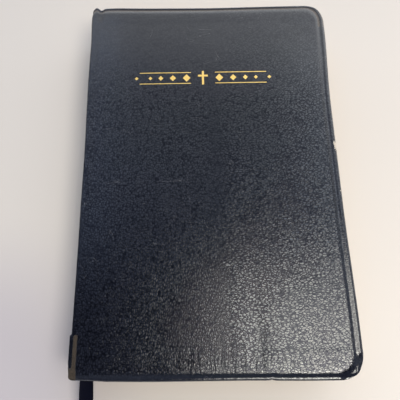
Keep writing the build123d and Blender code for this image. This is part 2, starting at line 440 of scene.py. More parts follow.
def make_ribbon_tail():
    """The ribbon's free end: a slightly cupped strip with thicker woven edges."""
    path = ribbon_path()
    line = np.array(path) / MM
    along = directions(line)
    across = np.array([1.0, 0.0, 0.0])
    lift = np.cross(across, along)
    lift *= np.where(lift[:, 2:] < 0, -1, 1)
    travelled = np.concatenate([[0], np.cumsum(np.linalg.norm(np.diff(line, axis=0), axis=1))])
    points = []
    for place, forward, up, run in zip(line, along, lift, travelled):
        free = ramp(run, 0.0, 12.0) * ramp(travelled[-1] - run, 0.0, 14.0)
        spread = 1 + (RIBBON_SPREAD - 1) * free * (1 - 0.5 * ramp(run, 12.0, 26.0))
        end_cut = 1.1 * ramp(run, travelled[-1] - 0.5, travelled[-1])
        section = []
        for side in (1, -1):
            for step in range(RIBBON_SIDE_STEPS + 1):
                t = (step / RIBBON_SIDE_STEPS * 2 - 1) * side
                edge = 0.5 + 0.35 * ramp(abs(t), 0.86, 0.94) * (1 - 0.4 * ramp(abs(t), 0.97, 1.0))
                cup = 0.55 * free * t * t
                twist = free * t
                height = side * 0.12 * edge + cup + twist
                sideways = t * RIBBON_WIDTH / 2 * spread + 0.3 * free
                section.append(place + across * sideways + up * height + forward * end_cut * t)
        points.append(section)
    points = np.array(points)
    points[..., 2] = np.maximum(points[..., 2], RIBBON_LEAST_Z)
    sides, first, last = tube_faces(*points.shape[:2])
    faces = sides + [first[::-1], last]
    ribbon = new_piece("ribbon_free_end", points, faces, [ribbon_material(on_cad=False)])
    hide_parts("ribbon_tail")
    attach(ribbon, "back_half")
    paint_node("ribbon_marker", ribbon_material(on_cad=True))


def paint_node(node, material):
    """Gives a carried-over CAD node its material."""
    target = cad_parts[node]
    if not target.material_slots:
        target.data.materials.append(material)
    for holder in target.material_slots:
        holder.material = material


# ---------------------------------------------------------------- leather: shape
def section(s, mirrored):
    """Place (x, z) and outward normal of the cover's outer face at arc length s."""
    s = np.asarray(s, float)
    round_angle = np.clip(-s / SHOULDER_RADIUS, 0, SHOULDER_TURN)
    spine_angle = SPINE_HALF_TURN - np.maximum(-s - SHOULDER_LENGTH, 0) / SPINE_RADIUS
    on_spine = s < -SHOULDER_LENGTH
    x = SHOULDER_X + np.maximum(s, 0) - SHOULDER_RADIUS * np.sin(round_angle)
    z = TOP_Z - SHOULDER_RADIUS * (1 - np.cos(round_angle))
    nx, nz = -np.sin(round_angle), np.cos(round_angle)
    x = np.where(on_spine, SPINE_CENTRE_X - SPINE_RADIUS * np.cos(spine_angle), x)
    z = np.where(on_spine, MID_Z + SPINE_RADIUS * np.sin(spine_angle), z)
    nx = np.where(on_spine, -np.cos(spine_angle), nx)
    nz = np.where(on_spine, np.sin(spine_angle), nz)
    if mirrored:
        z, nz = TOP_Z - z, -nz
    return x, z, nx, nz


# Where the spine's tail end is torn: the bare strip's ends along s, and where the tear starts.
TEAR_STRIP = (0.80, 2.3)
TEAR_START_Y = -84.7
FLAP_STEP = 0.85
WORN_CORNER_Y = -99.8
WORN_CORNER_RADIUS = 3.2
SPINE_END_RADIUS = 3.4


def torn_share(s, y):
    """Where the leather is torn off the tail end of the spine, showing its fibres."""
    in_strip = ramp(s, TEAR_STRIP[0] - 0.45, TEAR_STRIP[0] + 0.35)
    in_strip = in_strip * fade(s, TEAR_STRIP[1] - 0.5, TEAR_STRIP[1] + 0.5)
    strip = in_strip * fade(y, TEAR_START_Y - 0.8, TEAR_START_Y)
    corner = ramp(s, -9.0, -5.0) * fade(s, 2.1, 3.1)
    corner = corner * fade(y, WORN_CORNER_Y - 0.9, WORN_CORNER_Y + 0.5)
    return np.maximum(strip, corner)


def outer_relief(s, y, front):
    """How far the outer face stands out from its plain shape, in millimetres."""
    on_cover = ramp(s, 0.0, 6.0)
    head_gap, tail_gap = HEAD_Y - y, HEAD_Y + y
    seed = 3 if front else 11

    # Slight waves of a limp cover, and the turned-in leather that shows through at head and tail.
    waves = 0.12 * wander(s, y, 46.0, seed) + 0.045 * wander(s, y, 19.0, seed + 1)
    waves += 0.012 * wander(s, y, 7.0, seed + 2)
    uneven = 0.7 + 0.3 * wander(s, y, 13.0, seed + 3)
    turned_in = 0.10 * fade(head_gap, 8.2, 12.8)
    turned_in = turned_in + (0.05 + 0.11 * ramp(s, 78.0, 98.0)) * fade(tail_gap, 12.0, 14.6)
    relief = waves * on_cover + turned_in * uneven * on_cover

    # A shallow groove along the hinge.
    relief = relief - 0.50 * fade(s, -3.0, 7.5) * ramp(s, -6.0, -1.0)
    relief = relief - 0.25 * fade(s, 2.0, 18.0) * on_cover
    if not front:
        return np.minimum(relief, 0.0)

    # Ripples and a valley towards the tail, and a scuff beside the head cap.
    ripple = np.sin((s - 67.0) * 1.25 + 0.6 * wander(s, y, 9.0, 21))
    patch = bell(s, 80.0, 14.0) * fade(y, -100.0, -80.0) * 0.04
    valley = -0.24 * bell(s, 88.5, 4.6) * fade(y, -90.0, -40.0) * ramp(tail_gap, 3.0, 10.0)
    scuff = 0.25 * bell(s, 4.6, 1.8) * bell(y, 101.0, 2.6)
    relief = relief + ripple * patch + valley - scuff

    # The rim steps down along the tail, sinks along the fore edge and bends down at their corner.
    tail_step = 0.70 * fade(tail_gap, 0.95, 2.8) - 0.07 * bell(tail_gap, 0.70, 0.25)
    relief = relief - tail_step * on_cover
    relief = relief - 0.12 * fade(FORE_S - s, 2.2, 5.0)
    past_s, past_y = s - GRID_EDGE_S, -y - GRID_EDGE_Y
    in_corner = ramp(np.minimum(past_s, past_y), -0.5, 2.0)
    away = np.hypot(np.maximum(past_s, 0.0), np.maximum(past_y, 0.0))
    return relief - (1.0 * ramp(away, 6.0, 12.6) + 0.24 * ramp(away, 8.0, 9.8)) * in_corner


def spine_relief(s, y, front):
    """How far the spine stands out: rounded in at both ends, with fine lengthwise ridges."""
    on_spine = fade(s, -SHOULDER_LENGTH - 0.6, 0.0)
    radius = SPINE_END_RADIUS
    end_gap = np.clip(radius - (HEAD_Y - abs(y)), 0, radius - 0.1)
    rounded = -(radius - np.sqrt(np.maximum(radius**2 - end_gap**2, 0.01))) * on_spine
    ridges = 0.06 * wander(y, s * 2, 5.0, 5) + 0.05 * wander(y, s, 17.0, 6)
    relief = rounded + ridges * on_spine
    if front:
        relief = relief - 0.16 * torn_share(s, y) * (1 + 0.5 * wander(s, y, 1.3, 8))
    return relief


def edge_shift(s, y, front):
    """In-plane shift (along x, along y) that makes the outline as uneven as a used book's."""
    near_fore = ramp(s, 70.0, FORE_S)
    if front:
        # The fore edge and the spine bulge unevenly, and a loose flap stands out where it is torn.
        along_x = near_fore * (0.32 + 1.55 * ramp(y, 38.0, 90.0) + 0.95 * ramp(-y, 20.0, 85.0))
        lean = -0.25 - 0.35 * ramp(y, -70.0, 0.0) - 0.85 * ramp(y, 5.0, 60.0)
        lean = lean - 0.5 * ramp(y, 80.0, 100.0)
        torn_off = fade(y, TEAR_START_Y - 0.35, TEAR_START_Y) * fade(s, 0.3, 1.1)
        flap = -FLAP_STEP * torn_off * ramp(s, SEAM_S, SEAM_S + 5.0)
        along_x = along_x + (lean * ramp(s, SEAM_S, -3.0)) * fade(s, 0.0, 40.0) + flap
    else:
        along_x = near_fore * 0.4 * np.sin(y / 37.0 + 2.0)

    # At the head: a small peak, the dip beside it, and the spine's end set back.
    near_head = ramp(y, 88.0, HEAD_Y)
    ear = 0.85 * bell(s, 2.0, 1.3) - 1.25 * bell(s, 4.9, 1.4) - 2.8 * fade(s, -1.8, 1.4)
    head_wave = 0.2 + 0.45 * bell(s, 12.0, 12.0) - 0.6 * bell(s, 67.0, 30.0)

    # At the tail: the corner at the spine worn round, a slow wave, and a nick.
    near_tail = ramp(-y, 92.0, HEAD_Y)
    radius = WORN_CORNER_RADIUS
    corner_gap = np.clip(2.1 - s - FLAP_STEP * ramp(s, 0.3, 1.1), 0.0, radius - 0.05)
    tail_corner = radius - np.sqrt(radius**2 - corner_gap**2)
    tail_wave = 0.55 * fade(s, 2.0, 44.0) + 0.6 * fade(s, 2.0, 20.0)
    tail_wave = tail_wave - 0.5 * ramp(s, 80.0, 115.0)
    nick = 0.4 * bell(s, 94.0, 1.0) if front else 0.0
    along_y = near_head * (ear + head_wave) + near_tail * (tail_corner + tail_wave + nick)
    return along_x, along_y


RIM_SHARE = {"head": 0.72, "tail": 0.60}
RIM_REACH = 9.5


def rim_squeeze(y, depth):
    """Narrows the rim at the head and tail, where the leather is pulled tighter over the board."""
    gap = HEAD_Y - abs(y)
    share = np.where(y > 0, RIM_SHARE["head"], RIM_SHARE["tail"])
    factor = share + (1 - share) * ramp(gap, 3.0, RIM_REACH)
    squeezed = np.sign(y) * (HEAD_Y - gap * factor)
    at_surface = fade(depth, 0.5, 0.9)
    return y + (squeezed - y) * at_surface * (gap < RIM_REACH)


def edge_gap(s, y):
    """Distance in from the cover's outline, with its round corners."""
    past_s, past_y = np.maximum(s - GRID_EDGE_S, 0), np.maximum(abs(y) - GRID_EDGE_Y, 0)
    return CORNER_RADIUS - np.hypot(past_s, past_y)


def leather_points(s, y, depth, front):
    """3-D places of skin points given by arc length, height on the page and depth in the skin."""
    s, y, depth = (np.asarray(value, float) for value in (s, y, depth))
    limit = HEAD_Y - SPINE_TURN_IN
    tucked = (depth > 1.4) & (s < 1.5) & (abs(y) < limit) & (abs(y) > HEAD_Y - CORNER_RADIUS)
    y = np.where(tucked, np.sign(y) * (limit - 0.03 * (limit - abs(y))), y)
    shift_x, shift_y = edge_shift(s, y, front)
    y = rim_squeeze(y, depth)
    x, z, nx, nz = section(s, mirrored=not front)
    outer = fade(depth, 0.0, 1.6)
    outward = (depth < 0.75) | (edge_gap(s, y) < 1.0)
    stand = outer_relief(s, y, front) * np.where(outward, np.maximum(1 - depth / 1.6, 0), 0) - depth
    stand = stand + spine_relief(s, y, front) * np.maximum(outer, 0.25)
    return np.stack([x + shift_x + nx * stand, y + shift_y, z + nz * stand], axis=-1)


def wear_colours(s, y, depth, front):
    """Wear at each skin point: torn fibres, rubbed leather, and pale chips."""
    s, y, depth = (np.asarray(value, float) for value in (s, y, depth))
    outer = fade(depth, 1.2, 1.8)
    torn = torn_share(s, y) * outer if front else np.zeros_like(s)
    from_edge = np.minimum(FORE_S - s, HEAD_Y - abs(y))
    rubbed = 0.30 * bell(from_edge, 1.4, 0.6) + 1.0 * ramp(depth, 0.12, 0.35) * (y > 90.0)
    rubbed = rubbed + 0.8 * bell(s, -1.0, 1.6) * ramp(y, 99.0, 104.0)
    rubbed = rubbed + 0.9 * bell(s, -2.2, 1.4) * fade(y, -104.0, -98.0)
    chips = np.zeros_like(s)
    if front:
        near_edge = fade(FORE_S - s, 1.0, 2.2)
        chips = near_edge * (bell(y, 12.0, 4.2) + 0.7 * bell(y, -14.0, 1.6))
    return np.stack([torn, np.clip(rubbed, 0, 1) * outer, np.clip(chips, 0, 1) * outer], axis=-1)


def grid_lines():
    """Lines of the leather's mesh: closest at the shoulder and the torn tail."""
    s_lines = np.concatenate([
        np.linspace(SEAM_S, -2.9, 8, endpoint=False),
        np.linspace(-2.9, 5.5, 26, endpoint=False),
        np.linspace(5.5, GRID_EDGE_S, 92),
    ])
    y_lines = np.concatenate([
        np.linspace(-GRID_EDGE_Y, -83.0, 26, endpoint=False),
        np.linspace(-83.0, 90.0, 130, endpoint=False),
        np.linspace(90.0, GRID_EDGE_Y, 8),
    ])
    return s_lines, y_lines


def cover_skin():
    """Points (s, y, depth) and faces of a cover's leather, as one closed skin."""
    s_lines, y_lines = grid_lines()
    count_s, count_y = len(s_lines), len(y_lines)
    points, faces = [], []

    def add_grid(depth):
        start = len(points)
        points.extend((s, y, depth) for s in s_lines for y in y_lines)
        return start

    def ring_of_grid(start):
        """The grid's border, from the seam along the head, fore edge and tail back to the seam."""
        head = [start + i * count_y + count_y - 1 for i in range(count_s)]
        fore = [start + (count_s - 1) * count_y + j for j in range(count_y - 1, -1, -1)]
        tail = [start + i * count_y for i in range(count_s - 1, -1, -1)]
        fan = CORNER_SEGMENTS - 1
        return head + [head[-1]] * fan + fore + [fore[-1]] * fan + tail

    def add_ring(inset, depth):
        start = len(points)
        radius = CORNER_RADIUS - inset
        turns = [math.pi / 2 * k / CORNER_SEGMENTS for k in range(1, CORNER_SEGMENTS)]
        arc = [(radius * math.sin(turn), radius * math.cos(turn)) for turn in turns]
        ring = [(s, HEAD_Y - inset) for s in s_lines]
        ring += [(GRID_EDGE_S + across, GRID_EDGE_Y + up) for across, up in arc]
        ring += [(FORE_S - inset, y) for y in y_lines[::-1]]
        ring += [(GRID_EDGE_S + across, -GRID_EDGE_Y - down) for down, across in arc]
        ring += [(s, inset - HEAD_Y) for s in s_lines[::-1]]
        points.extend((s, y, depth) for s, y in ring)
        return list(range(start, len(points)))

    def add_face(*corners):
        unique = list(dict.fromkeys(corners))
        if len(unique) > 2:
            faces.append(tuple(unique))

    outer = add_grid(0.0)
    rings = [ring_of_grid(outer)]
    rings += [add_ring(inset, depth) for inset, depth in LIP_PROFILE]
    inner = add_grid(SKIN_THICKNESS)
    rings.append(ring_of_grid(inner))
    for start, flip in ((outer, False), (inner, True)):
        for i in range(count_s - 1):
            for j in range(count_y - 1):
                a = start + i * count_y + j
                quad = (a, a + count_y, a + count_y + 1, a + 1)
                faces.append(quad[::-1] if flip else quad)
    for one, two in zip(rings, rings[1:]):
        for k in range(len(one) - 1):
            add_face(one[k], one[k + 1], two[k + 1], two[k])
    for j in range(count_y - 1):
        faces.append((outer + j + 1, inner + j + 1, inner + j, outer + j))
    add_face(*[ring[0] for ring in rings])
    add_face(*[ring[-1] for ring in rings][::-1])
    return np.array(points), faces


def make_cover_leather(front, material):
    """A cover's skin with its half of the shoulder."""
    side = "front" if front else "back"
    skin, faces = cover_skin()
    s, y, depth = skin.T
    places = leather_points(s, y, depth, front)
    leather = new_piece(f"{side}_leather", places, faces, [material],
                        colours=wear_colours(s, y, depth, front))
    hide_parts(f"{side}_cover_leather")
    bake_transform(leather)


def make_spine_leather(material):
    """The middle of the spine's leather, where the book opens."""
    s_front = np.linspace(SEAM_S, SEAM_S - SPINE_RADIUS * SEAM_TURN, 12)
    y_lines = grid_lines()[1]
    loop = [(y, 0.0) for y in y_lines]
    loop += [(HEAD_Y - inset, depth) for inset, depth in LIP_PROFILE]
    loop += [(y, SKIN_THICKNESS) for y in y_lines[::-1]]
    loop += [(inset - HEAD_Y, depth) for inset, depth in LIP_PROFILE[::-1]]
    y, depth = np.array(loop).T
    columns = [(s, True) for s in s_front[:-1]] + [(s, False) for s in s_front[-2::-1]]
    places, colours = [], []
    for s, front in columns:
        length = np.full_like(y, s)
        worn = ramp(s, SEAM_S - 7.0, SEAM_S) if front else 0.0
        places.append(leather_points(length, y, depth, front))
        colours.append(wear_colours(length, y, depth, front) * max(worn, 0.3))
    sides, first, last = tube_faces(len(columns), len(y))
    leather = new_piece("spine_leather", np.concatenate(places), sides + [first, last[::-1]],
                        [material], colours=np.concatenate(colours))
    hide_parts("spine_leather_front", "spine_leather_back")
    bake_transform(leather)


# ---------------------------------------------------------------- leather: material
GRAIN_PER_MM = 0.88


def leather_grain(shader):
    """Low pebbles and wrinkles, upright at the left and lying across the page at the right."""
    warp = shader.add("ShaderNodeTexNoise", {"Vector": shader.place, "Scale": 0.55, "Detail": 2.0})
    bent = shader.vector("ADD", shader.place,
                         shader.vector("SCALE", warp.outputs["Color"], scale=1.1))
    upright = shader.vector("MULTIPLY", bent, (1.15, 0.80, 1.0))
    lying = shader.vector("MULTIPLY", bent, (0.62, 1.20, 1.0))
    x = shader.split(shader.place)[0]
    to_right = shader.between(x, -4.0, 12.0)
    pebbles, wrinkles = [], []
    for stretched in (upright, lying):
        edges = shader.cells(GRAIN_PER_MM, "DISTANCE_TO_EDGE", stretched)
        pebbles.append(shader.between(edges, 0.0, 0.26))
        wrinkles.append(shader.noise(1.15, 2.0, stretched))
    wrinkles[0] = shader.times(wrinkles[0], 0.85)
    return shader.blend_value(to_right, *pebbles), shader.blend_value(to_right, *wrinkles)


def line_marks(shader, factors, offset, keep_scale, keep_range, width):
    """Thin wandering lines, kept only in some patches."""
    moved = shader.vector("ADD", shader.stretched(factors), offset)
    distance = shader.size_of(shader.minus(shader.noise(1.0, 1.5, moved), 0.5))
    line = shader.between(distance, 0.0, width, 1.0, 0.0)
    keep = shader.between(shader.noise(keep_scale, 1.0), *keep_range)
    return shader.times(line, keep)


def leather_material():
    """Black pebbled leather: irregular grain, shiny high spots with painted shade in the creases,
    scratches, dust and wear.
    """
    shader = Shader("black_leather")
    x, y = shader.split(shader.place)[:2]

    # Height: deep grain towards the tail, flatter at the head and at the pressed edges.
    tops, wrinkles = leather_grain(shader)
    fine = shader.noise(4.5, 3.0)
    grain_depth = shader.between(y, 88.0, 35.0, 0.35, 1.0)
    from_fore = shader.between(x, 64.5, 66.5, 1.0, 0.6)
    from_tail = shader.between(y, -104.0, -102.3, 0.45, 1.0)
    grain_depth = shader.times(grain_depth, shader.math("MINIMUM", from_fore, from_tail))
    height = shader.plus(shader.times(tops, 0.5), shader.times(wrinkles, 2.1))
    height = shader.plus(height, shader.times(fine, 0.10))
    ripples = shader.noise(1.0, 2.0, shader.stretched((0.75, 0.10, 1.0)))
    near_tail = shader.between(y, -84.0, -96.0, 0.0, 3.0)
    near_tail = shader.times(near_tail, shader.between(x, -30.0, -5.0, 0.25, 1.0))
    height = shader.plus(height, shader.times(ripples, near_tail))
    normal = shader.bump(height, 0.045, grain_depth)

    # Scratches, and wear from the mesh: torn fibres, rubbed leather and chips.
    across = line_marks(shader, (0.010, 0.15, 0.0), (3.0, 2.1, 0.0), 0.045, (0.54, 0.62), 0.0035)
    slanted = line_marks(shader, (0.09, 0.03, 0.0), (7.0, 2.0, 0.0), 0.06, (0.56, 0.62), 0.003)
    scratches = shader.most(across, slanted)
    wear = shader.add("ShaderNodeAttribute", attribute_name="wear").outputs["Color"]
    parts = shader.add("ShaderNodeSeparateColor", {"Color": wear}).outputs
    torn = shader.between(shader.plus(parts[0], shader.scatter(1.6, 4.0, 0.7)), 0.42, 0.58)
    rubbed = shader.between(shader.plus(parts[1], shader.scatter(2.4, 4.0, 0.9)), 0.35, 0.95)
    chips = shader.between(shader.plus(parts[2], shader.scatter(1.1, 3.0, 1.5)), 0.62, 0.70)
    dust_size = shader.between(shader.noise(0.9, 2.0), 0.57, 0.78, 0.0, 0.05)
    dust = shader.math("LESS_THAN", shader.cells(0.33, "F1"), dust_size)

    # Colour, from the dyed leather up to the dust on it.
    broad = shader.noise(0.30, 3.0)
    base = shader.blend(broad, rgb(0.0042, 0.0052, 0.0115), rgb(0.0085, 0.0095, 0.0175))
    base = shader.blend(shader.times(scratches, 0.5), base, rgb(0.085, 0.088, 0.098))
    base = shader.blend(shader.times(rubbed, 0.75), base, rgb(0.070, 0.055, 0.042))
    fibre_tone = shader.noise(2.2, 4.0, shader.stretched((2.2, 0.5, 1.0)))
    fibres = shader.blend(shader.between(fibre_tone, 0.32, 0.68), rgb(0.018, 0.013, 0.009),
                          rgb(0.070, 0.053, 0.038))
    base = shader.blend(torn, base, fibres)
    base = shader.blend(chips, base, rgb(0.50, 0.47, 0.42))
    base = shader.blend(shader.times(dust, 0.8), base, rgb(0.50, 0.50, 0.50))

    # Shine: painted shade darkens the creases between the pebbles, through metallic on the
    # near-black base colour, and torn fibres give back little light the same way.
    roughness = shader.between(shader.noise(0.12, 3.0), 0.30, 0.72, 0.13, 0.185)
    creases = shader.times(shader.minus(1.0, tops), grain_depth)
    worn = shader.most(torn, shader.most(chips, dust))
    roughness = shader.math("ADD", roughness, shader.times(worn, 0.5), clamp=True)
    fibre_height = shader.times(fibre_tone, shader.most(torn, chips))
    fibre_bump = shader.bump(fibre_height, 0.5, 1.0, normal)
    # Painted crease shade (metallic on a near-black base), with torn fibres made matte too.
    painted_crease_shade_and_torn_matte = shader.math("MULTIPLY", creases, shader.minus(0.82, worn), clamp=True)
    painted_crease_shade_and_torn_matte = shader.most(painted_crease_shade_and_torn_matte, shader.times(torn, 0.6))
    return shader.finish(Base_Color=base, Metallic=painted_crease_shade_and_torn_matte, Roughness=roughness,
                         Specular_IOR_Level=1.0, Specular_Tint=rgb(0.82, 0.91, 1.0),
                         Normal=fibre_bump)


# ---------------------------------------------------------------- text block
SIGNATURE_NAMES = [f"signature_{number:02d}" for number in range(1, 25)]
LAYERS_PER_SIGNATURE = 6
FIRST_BACK_SIGNATURE = 12
SIGNATURE_OVERLAP = 0.012
LEAF_CORNER_RADIUS = 8.0
LEAF_CORNER_STEPS = 10
SHEET_ROWS = np.linspace(-1, 1, 61)
TURNING_LEAF_THICKNESS = 0.035
CENTRE_SHEET_THICKNESS = 0.03


def block_span(z):
    """Spine and fore edges of the text block at a height."""
    fold = SPINE_CENTRE_X - math.sqrt(BLOCK_RADIUS**2 - (z - MID_Z) ** 2)
    return float(fold), float(fold + LEAF_WIDTH)


def leaf_outline(z):
    """Points round a leaf at a height: tail, fore edge, head, and back along the fold."""
    fold, fore = block_span(z)
    radius, top = LEAF_CORNER_RADIUS, BLOCK_HEAD_Y
    turns = [math.pi / 2 * k / LEAF_CORNER_STEPS for k in range(1, LEAF_CORNER_STEPS)]
    arc = [(radius * math.sin(turn), radius * math.cos(turn)) for turn in turns]
    centre_x, centre_y = fore - radius, top - radius
    outline = [(x, -top) for x in np.linspace(fold, centre_x, 34)]
    outline += [(centre_x + across, -centre_y - down) for across, down in arc]
    outline += [(fore, y) for y in np.linspace(-centre_y, centre_y, 52)]
    outline += [(centre_x + across, centre_y + up) for up, across in arc]
    outline += [(x, top) for x in np.linspace(centre_x, fold, 34)]
    outline += [(fold, y) for y in np.linspace(top, -top, 52)[1:-1]]
    return np.array(outline)


def ribbon_hump(x):
    """1 over the ribbon, beside the gutter, and 0 from there to the fore edge."""
    return fade(x, RIBBON_HIGH[0] + 1.0, RIBBON_HIGH[0] + 10.0)


def make_signature(index, paper, gilt):
    """One gathering: slightly uneven gilt leaf edges, and a rounded fold at the spine."""
    name = SIGNATURE_NAMES[index]
    low, high = corners_mm(name)
    bottom, top = low[2], high[2]
    front = index < FIRST_BACK_SIGNATURE
    lowest_front = index == FIRST_BACK_SIGNATURE - 1
    if lowest_front:
        bottom = MID_Z - 0.22
    if index == FIRST_BACK_SIGNATURE:
        top = MID_Z - 0.41
    if index not in (0, FIRST_BACK_SIGNATURE):
        top += SIGNATURE_OVERLAP
    rows = []
    for layer in range(LAYERS_PER_SIGNATURE + 1):
        z = bottom + (top - bottom) * layer / LAYERS_PER_SIGNATURE
        fold, fore = block_span(z)
        x, y = leaf_outline(z).T
        uneven = 0.035 * wander(x * 0.3 + y * 0.3, np.full_like(x, z * 37.0 + index), 5.0, 40)
        uneven += 0.03 * (lattice(layer, index, 7) - 0.5)
        away_x = ramp(x, fore - 9.0, fore)
        away_y = ramp(abs(y), BLOCK_HEAD_Y - 3.0, BLOCK_HEAD_Y) * np.sign(y)
        at_fold = fade(x, fold, fold + 0.4)
        fold_round = 0.30 * (2 * layer / LAYERS_PER_SIGNATURE - 1) ** 2 * at_fold
        heights = np.full_like(x, z)
        if lowest_front and layer == 0:
            heights = heights + 0.20 * ribbon_hump(x)
        rows.append(np.stack([x + uneven * away_x + fold_round, y + uneven * away_y, heights],
                             axis=-1))
    sides, first, last = tube_faces(len(rows), len(rows[0]))
    near_fold = rows[0][:, 0] < rows[0][:, 0].min() + 0.6
    gilt_faces = ~(near_fold & np.roll(near_fold, -1))
    slots = [*gilt_faces.tolist() * LAYERS_PER_SIGNATURE, 0, 0]
    piece = new_piece(f"{name}_leaves", np.concatenate(rows), sides + [first[::-1], last],
                      [paper, gilt], slots)
    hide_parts(name)
    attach(piece, "front_half" if front else "back_half")


def paper_material(printed):
    """Thin ivory paper with a faint mottle, and on printed leaves two columns of grey bars."""
    shader = Shader("printed_paper" if printed else "plain_paper")
    fibre = shader.noise(1.2, 4.0)
    cloud = shader.noise(0.06, 3.0)
    tone = shader.blend(cloud, rgb(0.80, 0.765, 0.68), rgb(0.87, 0.845, 0.775))
    tone = shader.blend(shader.times(fibre, 0.25), tone, rgb(0.70, 0.66, 0.57))
    x, y = shader.split(shader.place)[:2]
    if printed:
        tone = shader.blend(shader.times(grey_bars(shader, x, y), 0.78), tone,
                            rgb(0.10, 0.095, 0.09))
    edge = shader.between(shader.size_of(y), BLOCK_HEAD_Y - 5.0, BLOCK_HEAD_Y)
    tone = shader.blend(shader.times(edge, 0.35), tone, rgb(0.66, 0.57, 0.42))
    normal = shader.bump(fibre, 0.02, 0.5)
    return shader.finish(Base_Color=tone, Roughness=0.72, Specular_IOR_Level=0.3, Normal=normal)


def grey_bars(shader, x, y):
    """Two columns of short bars, like print seen from too far away to read."""
    line_pitch, soft = 2.6, 0.1
    column_start, column_end, column_half_height = 2.5, 52.5, 88.0
    middle = sum(block_span(MID_Z)) / 2 + 1.5
    from_middle = shader.size_of(shader.minus(x, middle))
    in_column = shader.times(
        shader.between(from_middle, column_start - soft, column_start + soft),
        shader.between(from_middle, column_end + soft, column_end - soft))
    in_height = shader.between(shader.size_of(y), column_half_height + 0.2, column_half_height)
    line = shader.math("DIVIDE", y, line_pitch)
    row = shader.math("FLOOR", line)
    within = shader.math("FRACT", line)
    in_line = shader.between(shader.size_of(shader.minus(within, 0.5)), 0.27, 0.20)
    side = shader.math("GREATER_THAN", x, middle)
    run = shader.add("ShaderNodeCombineXYZ",
                     {"X": shader.times(x, 0.34),
                      "Y": shader.math("MULTIPLY_ADD", row, 5.37), "Z": side})
    words = shader.noise(1.0, 1.0, run.outputs[0])
    bars = shader.times(shader.between(words, 0.40, 0.44), in_line)
    return shader.times(bars, shader.times(in_column, in_height))


def gilt_material():
    """Gold leaf burnished on the leaves' edges, with the fine lines of single leaves and rubs."""
    shader = Shader("gilt_edges")
    lines = shader.noise(1.0, 3.0, shader.stretched((0.25, 0.25, 14.0)))
    broad = shader.noise(0.09, 3.0, shader.stretched((1.0, 1.0, 4.0)))
    tone = shader.blend(lines, rgb(0.60, 0.38, 0.10), rgb(0.95, 0.70, 0.30))
    rubs = shader.between(shader.noise(0.5, 4.0, shader.stretched((1.0, 1.0, 5.0))), 0.62, 0.78)
    tone = shader.blend(shader.times(rubs, 0.6), tone, rgb(0.55, 0.42, 0.24))
    metallic = shader.between(rubs, 0.0, 1.0, 1.0, 0.55)
    roughness = shader.between(broad, 0.3, 0.7, 0.26, 0.42)
    normal = shader.bump(lines, 0.06, 0.7)
    return shader.finish(Base_Color=tone, Metallic=metallic, Roughness=roughness, Normal=normal)


def make_text_block():
    """The gatherings, and the sheets that lie where the book opens."""
    paper, printed, gilt = paper_material(False), paper_material(True), gilt_material()
    for index in range(len(SIGNATURE_NAMES)):
        make_signature(index, paper, gilt)
    make_centre_sheet(printed)
    make_turning_leaf("lower", printed)
    make_turning_leaf("upper", printed)


def rounded_x_lines(start, end, radius, straight_steps):
    """Places across a sheet, evenly spaced and then closer together along its round corners."""
    straight = np.linspace(start, end - radius, straight_steps, endpoint=False)
    turns = np.linspace(0, math.pi / 2, 12)
    return np.concatenate([straight, end - radius + radius * np.sin(turns)])


def half_height(x, end, radius, half):
    """Half the height of a sheet at x, where its corners at the fore edge are round."""
    past = max(0.0, x - (end - radius))
    return half - (radius - math.sqrt(max(radius**2 - past**2, 0.0)))


def thin_sheet(path, offset, halves):
    """Points and faces of a closed sheet about a path (x, z); halves gives half its height."""
    layers = []
    for line in (path + offset, path - offset):
        layers += [[(x, share * half, z) for share in SHEET_ROWS]
                   for (x, z), half in zip(line, halves)]
    return np.array(layers).reshape(-1, 3), two_layer_faces(len(path), len(SHEET_ROWS))


def across_path(path, distance):
    """Steps of a given length square to a path in x and z."""
    along = directions(path)
    return np.stack([-along[:, 1], along[:, 0]], axis=-1) * distance


def leaf_x_lines():
    """Places across a leaf at the middle of the book."""
    fold, fore = block_span(MID_Z)
    return rounded_x_lines(fold, fore, LEAF_CORNER_RADIUS, 48)


def leaf_half_heights(path_x, fore):
    """Half the height of a leaf at each place across it."""
    return [half_height(x, fore, LEAF_CORNER_RADIUS, BLOCK_HEAD_Y) for x in path_x]


def make_turning_leaf(which, material):
    """A single leaf at the middle of the book, lying a little higher over the ribbon beside the
    gutter.
    """
    lower = which == "lower"
    level, half = (MID_Z - 0.335, "back_half") if lower else (MID_Z - 0.275, "front_half")
    x_lines = leaf_x_lines()
    path = np.array([(x, level + 0.235 * float(ribbon_hump(x))) for x in x_lines])
    offset = np.array([0.0, -TURNING_LEAF_THICKNESS / 2])
    points, faces = thin_sheet(path, offset, leaf_half_heights(x_lines, x_lines[-1]))
    leaf = new_piece(f"{which}_turning_leaf", points, faces, [material])
    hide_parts(f"turning_leaf_{which}")
    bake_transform(leaf)


def make_centre_sheet(material):
    """The sheet at the middle of the book: two leaves, and their fold in the gutter."""
    fold_x, fold_radius = SPINE_X + 0.42, 0.05
    lower_z, upper_z = MID_Z - 0.385, MID_Z - 0.245
    x_lines = leaf_x_lines()
    inner_x, fore_x = x_lines[0], x_lines[-1]
    run = np.concatenate([np.linspace(fold_x, inner_x, 10, endpoint=False), x_lines])

    def settle(x, from_z, to_z):
        return from_z + (to_z - from_z) * float(ramp(x, inner_x - 0.2, inner_x + 0.9))

    low = [(x, settle(x, MID_Z - fold_radius, lower_z)) for x in run]
    high = [(x, settle(x, MID_Z + fold_radius, upper_z + 0.20 * float(ribbon_hump(x))))
            for x in run]
    path = np.array(low[::-1] + [(fold_x - fold_radius, MID_Z)] + high)
    points, faces = thin_sheet(path, across_path(path, CENTRE_SHEET_THICKNESS / 2),
                               leaf_half_heights(path[:, 0], fore_x))
    sheet = new_piece("centre_sheet", points, faces, [material], crease_degrees=60)
    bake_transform(sheet)


# ---------------------------------------------------------------- endpapers
ENDPAPER_THICKNESS = 0.09
ENDPAPER_FOLD_X = -67.25
PASTEDOWN_CORNER_RADIUS = CORNER_RADIUS - 2.5


